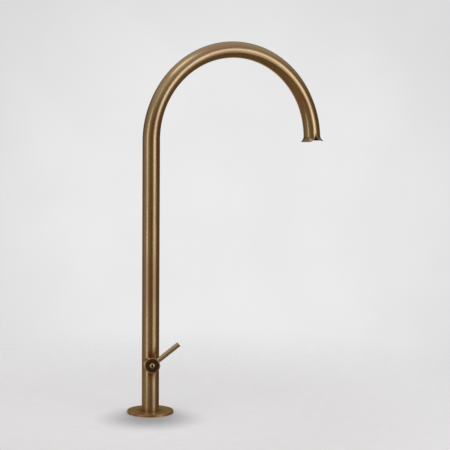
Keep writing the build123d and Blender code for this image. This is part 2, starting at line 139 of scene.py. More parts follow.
class TapShape(bpy.types.PropertyGroup):
    """Sizes of the surfaces that are made anew."""

    tube_radius: length_setting("Tube radius", "Outer radius of the swan neck", -tube_low.x)
    wall: length_setting("Wall", "Thickness of the tube's wall", 2 * MM)
    bend_radius: length_setting("Bend radius", "Radius of the bend, to the middle of the tube", 148 * MM)
    bend_angle: angle_setting("Bend angle", "How far the tube turns over", math.radians(176.5))
    flattening: share_setting(
        "Flattening", "Share of its width that the tube lost in the plane of the bend", 0.05
    )
    straight_end: length_setting(
        "Straight end", "Length of tube between the end of the bend and the rim", 12 * MM
    )
    flare_radius: length_setting("Flare radius", "Outer radius of the belled lips at the rim", 19.2 * MM)
    flare_height: length_setting(
        "Flare height", "Height above the rim at which the tube starts to bell out", 10 * MM
    )
    slit_height: length_setting(
        "Slit height", "Height of the slit between the lips, up to its round top", 13.6 * MM
    )
    slit_half_width: length_setting(
        "Slit half width", "Half the width of the slit at its narrow end", 0.5 * MM
    )
    lip_corner_radius: length_setting(
        "Lip corner radius",
        "Radius of the arcs by which the slit's edges curve away into the rim",
        13.8 * MM,
    )
    thread_pitch: length_setting("Thread pitch", "Pitch of the tail's half-inch pipe thread", 1.814 * MM)
    thread_depth: length_setting("Thread depth", "Depth of the tail's pipe thread", 1.162 * MM)


class TapFinish(bpy.types.PropertyGroup):
    """Colours of the finishes and of the painted shade."""

    golden: colour_setting("Golden brass", "Aged brass where the patina is thin", (0.50, 0.30, 0.095))
    olive: colour_setting("Olive patina", "Aged brass under an olive bloom", (0.40, 0.245, 0.070))
    russet: colour_setting(
        "Russet patina", "Aged brass where the patina has turned red", (0.39, 0.18, 0.050)
    )
    # The dark colour is patina on the lips and in the hub's dish, and painted shade in the neck's bore,
    # the hub's dish, the screw's socket and the flange's corner round the column.
    dark: colour_setting(
        "Dark patina", "Nearly black patina in hollows that nothing rubs", (0.085, 0.038, 0.022)
    )
    # Painted shade: dark red round the root of the boss on the body, where boss and column meet.
    painted_boss_shade: colour_setting(
        "Heat tint", "Red oxide that the torch left round the boss", (0.22, 0.055, 0.015)
    )
    bright: colour_setting(
        "Bright brass", "Brass rubbed bare on edges, and polished screws", (0.90, 0.70, 0.42)
    )
    raw: colour_setting("Raw brass", "Machined brass without a finish", (0.68, 0.50, 0.23))
    steel: colour_setting(
        "Steel", "Stainless steel of washers, clips and grub screws", (0.52, 0.52, 0.53)
    )
    rubber: colour_setting("Rubber", "Black rubber of gaskets and O-rings", (0.018, 0.018, 0.019))
    plastic: colour_setting("Dark plastic", "Moulded glide rings and bearings", (0.035, 0.032, 0.030))
    ceramic: colour_setting("Ceramic", "Ground ceramic of the valve's discs", (0.78, 0.76, 0.71))
    fibre: colour_setting("Red fibre", "Pressed fibre of the sealing washer", (0.36, 0.055, 0.03))


class TapStage(bpy.types.PropertyGroup):
    """Sizes and levels of the stage."""

    backdrop: colour_setting("Backdrop", "Pale colour round the tap", (0.83, 0.825, 0.83))
    deck_radius: length_setting("Deck radius", "Radius of the round deck that the tap is clamped to", 0.9)
    deck_thickness: length_setting(
        "Deck thickness", "Thickness of the deck between flange and washers", 20 * MM
    )
    shadow_radius: length_setting(
        "Shadow radius", "How far the soft shadow reaches from its middle", 98 * MM
    )
    shadow_depth: share_setting("Shadow depth", "How dark the soft shadow is in its middle", 0.5)
    corner_shade: share_setting("Corner shade", "Brightness of the backdrop in the view's corners", 0.86)
    camera_angle: angle_setting(
        "Camera angle", "Width of the camera's view", 2 * math.atan(450 / 2 / 1419)
    )


# Meshes


def grid(x, y, z):
    """Grid of points from their three parts."""
    return numpy.stack(numpy.broadcast_arrays(x, y, z), axis=-1)


def joined(*arrays, axis=0):
    """Arrays put together one after another."""
    return numpy.concatenate(arrays, axis=axis)


def quads(numbers, flip=False, closed=True):
    """Four-sided faces of a grid of vertex numbers. Its rows are rings if it's closed."""
    if closed:
        numbers = joined(numbers, numbers[:, :1], axis=1)
    corners = (numbers[:-1, :-1], numbers[:-1, 1:], numbers[1:, 1:], numbers[1:, :-1])
    faces = numpy.stack(corners, axis=-1).reshape(-1, 4)
    return faces[:, ::-1] if flip else faces


def number_grids(*grids):
    """Vertex numbers of point grids that are put into one mesh one after another."""
    numbers = []
    count = 0
    for points in grids:
        size = points.shape[0] * points.shape[1]
        numbers.append(numpy.arange(count, count + size).reshape(points.shape[:2]))
        count += size
    return numbers


def turned(radius, height, turn):
    """Points of a turned surface: radii and heights round the axis by the turn."""
    return grid(radius * numpy.cos(turn), radius * numpy.sin(turn), height)


def full_turn(count):
    """Turns of a ring's points, all the way round."""
    return numpy.linspace(0, 2 * math.pi, count + 1)[None, :-1]


def rows_between(*stations):
    """Rising values that run through the stations. Each station but the first comes with
    the step to it from the one before: (value, step)."""
    values = [numpy.array([stations[0]])]
    last = stations[0]
    for value, step in stations[1:]:
        count = max(1, round((value - last) / step))
        values.append(numpy.linspace(last, value, count + 1)[1:])
        last = value
    return joined(*values)


def place_object(name, data):
    """New object in the scene."""
    placed = bpy.data.objects.new(name, data)
    bpy.context.scene.collection.objects.link(placed)
    return placed


def make_piece(name, points, faces, replaced, unbent=None, inside=None):
    """Mesh object of points and faces, its doubled points merged, smooth but for edges.

    It rides on the body of the CAD node that it replaces.
    A bent piece also carries each point's place before it was bent, and a tube a value
    that is 1 on its inner wall and 0 elsewhere.
    """
    used, corners = numpy.unique(faces, return_inverse=True)
    mesh = bpy.data.meshes.new(name)
    mesh.from_pydata(points.reshape(-1, 3)[used], [], corners.reshape(-1, 4).tolist())
    if unbent is not None:
        layer = mesh.attributes.new("unbent", "FLOAT_VECTOR", "POINT")
        layer.data.foreach_set("vector", unbent[used].reshape(-1))
    if inside is not None:
        layer = mesh.attributes.new("inside", "FLOAT", "POINT")
        layer.data.foreach_set("value", inside[used].astype("f"))
    shape = bmesh.new()
    shape.from_mesh(mesh)
    bmesh.ops.remove_doubles(shape, verts=shape.verts, dist=0.002 * MM)
    shape.to_mesh(mesh)
    shape.free()
    mesh.shade_smooth()
    mesh.set_sharp_from_angle(angle=math.radians(32))
    piece = place_object(name, mesh)
    node = frame["nodes"][replaced]
    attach(piece, node["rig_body"])
    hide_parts(replaced)
    return piece


# The swan neck


def bend_start(shape):
    """Height at which the bend starts."""
    return tube_high.z - shape.tube_radius - shape.bend_radius


def rim_length(shape):
    """Length of the tube's middle line from the deck to the rim."""
    return bend_start(shape) + shape.bend_radius * shape.bend_angle + shape.straight_end


def neck_surface(length, turn, radius, shape):
    """Points of the neck's wall, and the same points on the tube before it was bent.

    The middle line rises, follows the bend's circle and runs on straight. At a length
    along it, a point lies the radius away from it: the cosine of the turn towards the
    bend's outside, the sine towards +Y. In the bend the first share is flattened.
    """
    rise = bend_start(shape)
    angle = numpy.clip((length - rise) / shape.bend_radius, 0, shape.bend_angle)
    beyond = numpy.clip(length - rise - shape.bend_radius * shape.bend_angle, 0, None)
    middle_x = shape.bend_radius * (1 - numpy.cos(angle)) + beyond * numpy.sin(angle)
    middle_z = (
        numpy.minimum(length, rise)
        + shape.bend_radius * numpy.sin(angle)
        + beyond * numpy.cos(angle)
    )
    share = numpy.minimum(angle, shape.bend_angle - angle) / FLATTENING_TURN
    share = numpy.clip(share, 0, 1)
    narrow = 1 - shape.flattening * share**2 * (3 - 2 * share)
    across = radius * numpy.cos(turn)
    aside = radius * numpy.sin(turn)
    points = grid(
        middle_x - narrow * across * numpy.cos(angle),
        aside,
        middle_z + narrow * across * numpy.sin(angle),
    )
    return points, grid(-across, aside, length)


def flare_growth(above_rim, shape):
    """How much wider the tube is at a height above the rim: an arc that leaves the tube
    without a kink and reaches the flare's radius at the rim."""
    growth = shape.flare_radius - shape.tube_radius
    arc_radius = (shape.flare_height**2 + growth**2) / (2 * growth)
    below = numpy.clip(shape.flare_height - above_rim, 0, shape.flare_height)
    return arc_radius - numpy.sqrt(arc_radius**2 - below**2)


def slit_width(above_rim, shape):
    """Half width of the slit at a height above the rim: a circle's arc on each side that
    curves away into the rim, and a half circle over them."""
    drop = numpy.clip(shape.slit_height - above_rim, 0, shape.slit_height)
    sideways = numpy.sqrt(shape.lip_corner_radius**2 - drop**2)
    arc = shape.slit_half_width + shape.lip_corner_radius - sideways
    rise = numpy.clip(above_rim - shape.slit_height, 0, shape.slit_half_width)
    circle = numpy.sqrt(shape.slit_half_width**2 - rise**2)
    return numpy.where(above_rim > shape.slit_height, circle, arc)


def quarter_round(radius):
    """Steps of a quarter circle that rounds an edge: how far along, and how far in."""
    angle = numpy.linspace(0, math.pi / 2, 4)
    return radius * numpy.sin(angle), radius * (1 - numpy.cos(angle))


def foot_surface(turn, shape):
    """Rings from the inner wall's foot to the outer wall's: a thin skirt that hangs
    outside the slip ring's seat, its outer edge rounded."""
    skirt_foot = tube_low.z - SKIRT_DEPTH
    advance, inset = quarter_round(FOOT_ROUNDING)
    rounding_end = skirt_foot + advance[-1]
    length = joined(
        [tube_low.z, tube_low.z, skirt_foot],
        rounding_end - advance[:0:-1],
        [rounding_end, tube_low.z],
    )
    radius = joined(
        [shape.tube_radius - shape.wall, SKIRT_INNER_RADIUS, SKIRT_INNER_RADIUS],
        shape.tube_radius - inset[:0:-1],
        [shape.tube_radius, shape.tube_radius],
    )
    return neck_surface(length[:, None], turn, radius[:, None], shape)


def lip_rows(slit_top, shape):
    """Lengths of a lip's rows from the slit's top down to the rim, and for each how far
    the wall is thinned to round the rim, and the radius that rounds its corners."""
    rim = rim_length(shape)
    advance, rim_inset = quarter_round(LIP_ROUNDING)
    arc_start = rim - shape.slit_height
    rounding_start = rim - advance[-1]
    last_turn = math.asin((rounding_start - arc_start) / shape.lip_corner_radius)
    arc_turn = numpy.linspace(0, last_turn, 36)[1:]
    lower = joined(
        rows_between(slit_top, (slit_top + 0.08 * MM, 0.04 * MM), (arc_start, 0.14 * MM)),
        arc_start + shape.lip_corner_radius * numpy.sin(arc_turn),
    )
    inset = joined(0 * lower, rim_inset[1:])
    lower = joined(lower, rounding_start + advance[1:])
    rounding = numpy.minimum(LIP_ROUNDING, 0.3 * (lower - slit_top))
    return lower[:, None], inset[:, None], rounding[:, None]


def lip_surface(side, lower, inset, rounding, shape):
    """Rows of points round a lip's wall: the outer face, a slit's edge, the inner face
    and the other slit's edge, with the four corners of the wall rounded.

    The side is the turn of the lip's middle.
    """
    above_rim = rim_length(shape) - lower
    half_wall = shape.wall / 2
    columns = 49
    forward, inward = quarter_round(1.0)
    corner_in = inward[None, :]
    corner_aside = 1 - forward[None, :]
    face = numpy.zeros((1, columns))
    full = face + 1
    wall_part = joined(corner_in[:, ::-1], face, corner_in, axis=1)
    slit_part = joined(corner_aside[:, ::-1], full, corner_aside, axis=1)
    spread = numpy.linspace(-1, 1, columns)[None, :]
    spread = joined(full[:, :4] * -1, spread, full[:, :4], axis=1)
    depth = half_wall - inset - rounding * wall_part
    middle = shape.tube_radius - half_wall + flare_growth(above_rim, shape)
    slit = slit_width(above_rim, shape) + inset + rounding * slit_part
    halves = []
    for radius in (middle + depth, middle - depth):
        edge = numpy.arccos(numpy.clip(slit / radius, 0, 1))
        halves.append(neck_surface(lower, side + edge * spread, radius, shape))
    (outer, outer_unbent), (inner, inner_unbent) = halves
    points = joined(outer, inner[:, ::-1], axis=1)
    return points, joined(outer_unbent, inner_unbent[:, ::-1], axis=1)


def hole_patch(block, radius, centre_height, hole_radius):
    """Points of a wall between a block of its grid and the round hole in its middle.

    The block lies on the side towards +Y. Each ring of the patch is a mean of the
    block's border and the circle, seen along Y, and the wall's radius gives its depth.
    """
    border = joined(block[0, :-1], block[:-1, -1], block[-1, :0:-1], block[:0:-1, 0])
    turn = numpy.arctan2(border[:, 2] - centre_height, border[:, 0])
    share = numpy.linspace(0, 1, 4)[:, None]
    circle_x = hole_radius * numpy.cos(turn)
    circle_z = centre_height + hole_radius * numpy.sin(turn)
    x = border[:, 0] * (1 - share) + circle_x * share
    z = border[:, 2] * (1 - share) + circle_z * share
    return grid(x, numpy.sqrt(radius**2 - x**2), z)


def swan_neck_mesh(shape):
    """The whole neck: its points, its faces, the points before they were bent, and which
    of them lie on the inner wall."""
    half_columns = 48
    quarter = half_columns // 2
    block = 3
    hole_height = (screw_low.z + screw_high.z) / 2
    hole_radius = (screw_high.z - screw_low.z) / 2
    inner_radius = shape.tube_radius - shape.wall
    slit_top = rim_length(shape) - shape.slit_height - shape.slit_half_width

    # the whole tube, from its foot up to the top of the slit, and its two ends
    upper = rows_between(
        tube_low.z,
        (hole_height - block * MM, 4 * MM),
        (hole_height + block * MM, 1 * MM),
        (bend_start(shape), 8 * MM),
        (slit_top, 4 * MM),
    )
    upper = upper[:, None]
    turn = numpy.arange(2 * half_columns)[None, :] * math.pi / half_columns
    outer = neck_surface(upper, turn, shape.tube_radius, shape)
    inner = neck_surface(upper, turn, inner_radius, shape)
    foot = foot_surface(turn, shape)
    rows_of_lips = lip_rows(slit_top, shape)
    lips = [lip_surface(side, *rows_of_lips, shape) for side in (0, math.pi)]

    # rings round the grub screw's hole, on the side towards +Y
    near = numpy.nonzero(abs(upper[:, 0] - hole_height) < (block + 0.5) * MM)[0]
    low, high = near[0], near[-1]
    left, right = quarter - block, quarter + block
    patches = [
        hole_patch(wall[0][low : high + 1, left : right + 1], radius, hole_height, hole_radius)
        for wall, radius in ((outer, shape.tube_radius), (inner, inner_radius))
    ]

    # faces of all grids, left out where the hole's block lies
    grids = (outer, inner, foot, *lips)
    numbers = number_grids(*(each[0] for each in grids), *patches)
    outside, inside, foot_rows, first_lip, second_lip = numbers[:5]
    hole_outside, hole_inside = numbers[5:]
    pierced = numpy.zeros(outside.shape, bool)
    pierced[low:high, left:right] = True
    whole = ~pierced[:-1].reshape(-1)
    faces = [
        quads(outside, flip=True)[whole],
        quads(inside)[whole],
        quads(foot_rows, flip=True),
        quads(hole_outside, flip=True),
        quads(hole_inside),
        quads(numpy.stack((hole_outside[-1], hole_inside[-1])), flip=True),
    ]
    for lip in (first_lip, second_lip):
        half = lip.shape[1] // 2
        faces.append(quads(lip, flip=True))
        rim = numpy.stack((lip[-1, :half], lip[-1, :half - 1:-1]))
        faces.append(quads(rim, flip=True, closed=False))

    # the inner wall: its own grids, and each lip's second half of columns
    lip_inner = numpy.arange(first_lip.shape[1]) >= first_lip.shape[1] // 2
    on_inner = (False, True, False, lip_inner, lip_inner, False, True)
    inside_values = [
        numpy.broadcast_to(mask, each.shape).reshape(-1)
        for mask, each in zip(on_inner, numbers)
    ]
    points = [each[0].reshape(-1, 3) for each in grids]
    unbent = [each[1].reshape(-1, 3) for each in grids]
    around_hole = [patch.reshape(-1, 3) for patch in patches]
    return (
        joined(*points, *around_hole),
        joined(*faces),
        joined(*unbent, *around_hole),
        joined(*inside_values),
    )


class GARDEN_TAP_OT_swan_neck(bpy.types.Operator):
    """Make the swan neck: a bent tube with a belled and slit mouth"""

    bl_idname = "garden_tap.swan_neck"
    bl_label = "Swan neck"

    def execute(self, context):
        points, faces, unbent, inside = swan_neck_mesh(context.scene.tap_shape)
        piece = make_piece("swan_neck", points, faces, "spout_tube", unbent, inside)
        material = aged_brass("aged_brass_neck", context.scene.tap_finish, "neck")
        piece.data.materials.append(material)
        return {"FINISHED"}


# The threaded tail and its nut


def thread_radius(height, turn, crest, shape):
    """Radius of a right-hand pipe thread: a cosine wave that climbs one pitch a turn."""
    phase = height / shape.thread_pitch - turn / (2 * math.pi)
    return crest - shape.thread_depth * (0.5 - 0.5 * numpy.cos(2 * math.pi * phase))


def tail_surface(shape):
    """Rings up the tail's outside, with its run-out groove, and down its bore. At the
    foot a cone cuts the thread down to its lead-in."""
    turn = full_turn(96)
    step = shape.thread_pitch / 10
    crest = shank_high.x
    lead_in = 1 * MM
    heights = rows_between(
        shank_low.z,
        (RUN_OUT_FOOT, step),
        (RUN_OUT_TOP, RUN_OUT_TOP - RUN_OUT_FOOT),
        (shank_high.z, step),
    )[:, None]
    cone = crest - lead_in + (heights - shank_low.z)
    threads = numpy.minimum(thread_radius(heights, turn, crest, shape), cone)
    outside = turned(threads, heights, turn)
    groove_heights = numpy.array([RUN_OUT_FOOT, RUN_OUT_TOP])[:, None]
    groove = turned(RUN_OUT_RADIUS, groove_heights, turn)
    bore_heights = numpy.array([shank_high.z, shank_low.z])[:, None]
    bore = turned(TAIL_BORE_RADIUS, bore_heights, turn)
    below = numpy.searchsorted(heights[:, 0], (RUN_OUT_FOOT + RUN_OUT_TOP) / 2)
    return joined(outside[:below], groove, outside[below:], bore, outside[:1])


def nut_surface(shape):
    """Rings up the nut's outside and down its thread. The outside is a hexagon, cut by a
    cone at each end that leaves a round face."""
    turn = full_turn(144)
    flat_radius = nut_high.y
    face_radius = flat_radius - 0.5 * MM
    cone_height = 1.3 * MM
    cone_slope = 3 / 1.3
    clearance = 0.05 * MM
    heights = rows_between(
        nut_low.z,
        (nut_low.z + cone_height, cone_height / 10),
        (nut_high.z - cone_height, 2 * MM),
        (nut_high.z, cone_height / 10),
    )[:, None]
    sector = math.pi / 3
    from_flat = numpy.abs(numpy.mod(turn, sector) - sector / 2)
    hexagon = flat_radius / numpy.cos(from_flat)
    middle = (nut_low.z + nut_high.z) / 2
    to_face = (nut_high.z - nut_low.z) / 2 - numpy.abs(heights - middle)
    outside = numpy.minimum(hexagon, face_radius + cone_slope * to_face)
    rows = rows_between(nut_low.z, (nut_high.z, shape.thread_pitch / 10))[::-1, None]
    inside = thread_radius(rows, turn, shank_high.x + clearance, shape)
    nut = joined(turned(outside, heights, turn), turned(inside, rows, turn))
    return joined(nut, nut[:1])


class GARDEN_TAP_OT_tail(bpy.types.Operator):
    """Make the threaded tail and the back nut that clamps it under the deck"""

    bl_idname = "garden_tap.tail"
    bl_label = "Tail and nut"

    def execute(self, context):
        shape = context.scene.tap_shape
        material = raw_brass("raw_brass_threads", context.scene.tap_finish)
        for name, points, replaced in (
            ("threaded_tail", tail_surface(shape), "mounting_shank"),
            ("back_nut", nut_surface(shape), "lock_nut"),
        ):
            faces = quads(number_grids(points)[0])
            piece = make_piece(name, points, faces, replaced)
            piece.data.materials.append(material)
        return {"FINISHED"}


# Shader parts


def fill(tree, node, inputs):
    """Fills a node's inputs with values or links. A colour comes with three parts."""
    for key, value in inputs.items():
        socket = node.inputs[key]
        if isinstance(value, bpy.types.NodeSocket):
            tree.links.new(value, socket)
        elif socket.type == "RGBA":
            socket.default_value = (*value, 1.0)
        else:
            socket.default_value = value


def add(tree, kind, inputs=None, **settings):
    """Adds a node, sets its properties and fills its inputs."""
    node = tree.nodes.new(kind)
    place = len(tree.nodes)
    node.location = (220 * (place % 9), -320 * (place // 9))
    for key, value in settings.items():
        setattr(node, key, value)
    fill(tree, node, inputs or {})
    return node


def object_place(tree):
    """Place of a point in the object's own coordinates."""
    return add(tree, "ShaderNodeTexCoord").outputs["Object"]


def noise(tree, vector, scale, detail=3.0, roughness=0.5, distortion=0.0):
    """Value of a noise pattern."""
    inputs = {
        "Vector": vector,
        "Scale": scale,
        "Detail": detail,
        "Roughness": roughness,
        "Distortion": distortion,
    }
    return add(tree, "ShaderNodeTexNoise", inputs).outputs[0]


def ramp(tree, value, start, end, low=0.0, high=1.0):
    """Smooth step of a value from low at the start to high at the end."""
    inputs = {
        "Value": value,
        "From Min": start,
        "From Max": end,
        "To Min": low,
        "To Max": high,
    }
    settings = {"interpolation_type": "SMOOTHSTEP", "clamp": True}
    return add(tree, "ShaderNodeMapRange", inputs, **settings).outputs[0]


def math_node(tree, operation, first, second):
    """Value worked out from two values."""
    inputs = {0: first, 1: second}
    return add(tree, "ShaderNodeMath", inputs, operation=operation).outputs[0]


def times(tree, first, second):
    """Product of two values."""
    return math_node(tree, "MULTIPLY", first, second)


def vector_node(tree, operation, *vectors, **others):
    """Vector worked out from vectors, or for a length or dot product a value."""
    inputs = {**dict(enumerate(vectors)), **others}
    node = add(tree, "ShaderNodeVectorMath", inputs, operation=operation)
    is_value = operation in ("LENGTH", "DOT_PRODUCT")
    return node.outputs["Value" if is_value else "Vector"]


def mix_colour(tree, factor, first, second):
    """Colour between two colours."""
    inputs = {0: factor, 6: first, 7: second}
    return add(tree, "ShaderNodeMix", inputs, data_type="RGBA").outputs[2]


def flat_place(tree, vector):
    """Vector without its height."""
    return vector_node(tree, "MULTIPLY", vector, (1.0, 1.0, 0.0))


def emptied(owner):
    """Node tree of a new material or world, without its first nodes."""
    owner.use_nodes = True
    owner.node_tree.nodes.clear()
    return owner.node_tree


def dress(tree, surface, inputs, height, depth, normal=None):
    """Fills a surface's inputs and gives it a fine relief, over a rounded normal if there
    is one."""
    relief = {"Height": height, "Distance": depth}
    if normal is not None:
        relief["Normal"] = normal
    bump = add(tree, "ShaderNodeBump", relief)
    fill(tree, surface, {**inputs, "Normal": bump.outputs[0]})


# Effects that several finishes share


def new_group(name, inputs, outputs):
    """Node group that takes a vector and more: its tree, its inputs' links, its end. An
    input is given as (name, kind, value) and an output as (name, kind)."""
    tree = bpy.data.node_groups.new(name, "ShaderNodeTree")
    for key, kind, value in (("Vector", "Vector", None), *inputs):
        kind = "NodeSocket" + kind
        socket = tree.interface.new_socket(name=key, in_out="INPUT", socket_type=kind)
        if value is not None:
            socket.default_value = value
    for key, kind in outputs:
        kind = "NodeSocket" + kind
        tree.interface.new_socket(name=key, in_out="OUTPUT", socket_type=kind)
    start = tree.nodes.new("NodeGroupInput")
    return tree, start.outputs, tree.nodes.new("NodeGroupOutput")


def make_patina(name):
    """Patina in patches: olive and russet clouds over golden brass, mottled finely."""
    inputs = (
        ("Golden", "Color", None),
        ("Olive", "Color", None),
        ("Russet", "Color", None),
        ("Patch Size", "Float", 0.03),
    )
    outputs = (("Color", "Color"), ("Thickness", "Float"))
    tree, given, end = new_group(name, inputs, outputs)
    vector = given["Vector"]
    frequency = math_node(tree, "DIVIDE", 1.0, given["Patch Size"])
    fine_frequency = times(tree, frequency, 7.0)
    clouds = noise(tree, vector, frequency, 1.5, 0.45, 0.3)
    olive_mask = ramp(tree, clouds, 0.38, 0.62)
    moved = vector_node(tree, "ADD", vector, (0.37, 0.11, 0.23))
    russet_clouds = noise(tree, moved, frequency, 1.5, 0.5, 0.4)
    russet_mask = ramp(tree, russet_clouds, 0.5, 0.68)
    fine = noise(tree, vector, fine_frequency, 1.0)
    mottle = ramp(tree, fine, 0.3, 0.7)
    base = mix_colour(tree, olive_mask, given["Golden"], given["Olive"])
    reddened = mix_colour(tree, russet_mask, base, given["Russet"])
    shade = ramp(tree, fine, 0.3, 0.7, 0.96, 1.04)
    shaded = vector_node(tree, "SCALE", reddened, Scale=shade)
    coarse_part = times(tree, olive_mask, 0.85)
    fine_part = times(tree, mottle, 0.15)
    thickness = math_node(tree, "ADD", coarse_part, fine_part)
    fill(tree, end, {"Color": shaded, "Thickness": thickness})
    return tree


def make_brush_lines(name):
    """Fine lines left by a brush or a lathe tool, one way only."""
    inputs = (("Stretch", "Vector", (1.0, 1.0, 30.0)), ("Scale", "Float", 120.0))
    outputs = (("Height", "Float"), ("Lines", "Float"))
    tree, given, end = new_group(name, inputs, outputs)
    drawn_out = vector_node(tree, "MULTIPLY", given["Vector"], given["Stretch"])
    pattern = noise(tree, drawn_out, given["Scale"], 1.0, 0.4)
    fill(tree, end, {"Height": pattern, "Lines": ramp(tree, pattern, 0.35, 0.65)})
    return tree


def make_edge_wear(name):
    """Where a rounded-off normal leaves the true one, the piece has an edge that hands
    and cloths have rubbed, in a broken line."""
    inputs = (("Radius", "Float", 0.6 * MM), ("Evenness", "Float", 0.5))
    outputs = (("Mask", "Float"), ("Rounded", "Vector"))
    tree, given, end = new_group(name, inputs, outputs)
    bevel = add(tree, "ShaderNodeBevel", {"Radius": given["Radius"]}, samples=8)
    rounded = bevel.outputs[0]
    true_normal = add(tree, "ShaderNodeNewGeometry").outputs["Normal"]
    agreement = vector_node(tree, "DOT_PRODUCT", rounded, true_normal)
    edge = ramp(tree, agreement, 0.995, 0.9)
    breaks = noise(tree, given["Vector"], 350.0, 3.0, 0.6)
    kept = math_node(tree, "MAXIMUM", ramp(tree, breaks, 0.3, 0.6), given["Evenness"])
    fill(tree, end, {"Mask": times(tree, edge, kept), "Rounded": rounded})
    return tree


def make_speckle(name):
    """Small specks and a soft unevenness for moulded, ground and pressed surfaces."""
    outputs = (("Specks", "Float"), ("Clouds", "Float"), ("Height", "Float"))
    tree, given, end = new_group(name, (("Grain Size", "Float", 0.5 * MM),), outputs)
    frequency = math_node(tree, "DIVIDE", 1.0, given["Grain Size"])
    cloud_frequency = times(tree, frequency, 0.08)
    grain = noise(tree, given["Vector"], frequency, 3.0, 0.6)
    clouds = noise(tree, given["Vector"], cloud_frequency)
    specks = ramp(tree, grain, 0.58, 0.72)
    soft_clouds = ramp(tree, clouds, 0.35, 0.65)
    fill(tree, end, {"Specks": specks, "Clouds": soft_clouds, "Height": grain})
    return tree


group_makers = {
    "patina": make_patina,
    "brush lines": make_brush_lines,
    "edge wear": make_edge_wear,
    "speckle": make_speckle,
}


def effect(tree, name, vector, inputs):
    """Outputs of a shared effect, placed in a material with its own values. Its node
    group is built at its first use."""
    made = bpy.data.node_groups.get(name) or group_makers[name](name)
    inputs = {"Vector": vector, **inputs}
    return add(tree, "ShaderNodeGroup", inputs, node_tree=made).outputs


def brush_lines(tree, vector, stretch, scale):
    """Brush lines placed in a material."""
    return effect(tree, "brush lines", vector, {"Stretch": stretch, "Scale": scale})


def edge_wear(tree, vector, radius, evenness):
    """Edge wear placed in a material."""
    return effect(tree, "edge wear", vector, {"Radius": radius, "Evenness": evenness})


# Places on the pieces where their finish changes, and where shade is painted on


def along_valve(tree, vector):
    """Distance from the valve's axis, and the station along it from the column out."""
    radial = vector_node(tree, "SUBTRACT", vector, valve_centre)
    reach = vector_node(tree, "CROSS_PRODUCT", radial, valve_out)
    distance = vector_node(tree, "LENGTH", reach)
    station = vector_node(tree, "DOT_PRODUCT", vector, valve_out)
    return distance, station


def hollow_mask(tree, vector, radius, floor, mouth):
    """Where a round hollow on the valve's axis lies in its own shade: within the radius,
    from the station of its floor up to near its mouth."""
    distance, station = along_valve(tree, vector)
    blur = 0.1 * MM
    within = ramp(tree, distance, radius + blur, radius - blur)
    depth = mouth - floor
    sunk = ramp(tree, station, mouth - 0.1 * depth, mouth - 0.5 * depth)
    return times(tree, within, sunk)


def painted_boss_shade_mask(tree, vector):
    """Where painted dark red shade lies on the body: near the boss, on the side that faces out."""
    distance, station = along_valve(tree, vector)
    near = ramp(tree, distance, 31 * MM, 13 * MM)
    facing = ramp(tree, station, 12.4 * MM, 13.6 * MM)
    return times(tree, near, facing)


def rim_dulling_and_bore_shade(tree, length, rim):
    """Where the neck darkens: dulled patina a little towards its rim, painted shade wholly on its inner
    wall.
    """
    lips = ramp(tree, length, rim - 12 * MM, rim - 6 * MM, 0.0, 0.45)
    inner = add(tree, "ShaderNodeAttribute", attribute_name="inside").outputs["Fac"]
    return math_node(tree, "MAXIMUM", lips, ramp(tree, inner, 0.4, 0.9))


def painted_corner_shade_mask(tree, vector):
    """Painted shade on the flange: darker in the corner round the foot of the column."""
    distance = vector_node(tree, "LENGTH", flat_place(tree, vector))
    return ramp(tree, distance, 26 * MM, 15 * MM, 0.0, 0.6)


# Finishes


def new_material(name):
    """Empty material with a Principled surface. Returns it with its tree and surface."""
    material = bpy.data.materials.new(name)
    tree = emptied(material)
    surface = add(tree, "ShaderNodeBsdfPrincipled")
    add(tree, "ShaderNodeOutputMaterial", {"Surface": surface.outputs[0]})
    return material, tree, surface


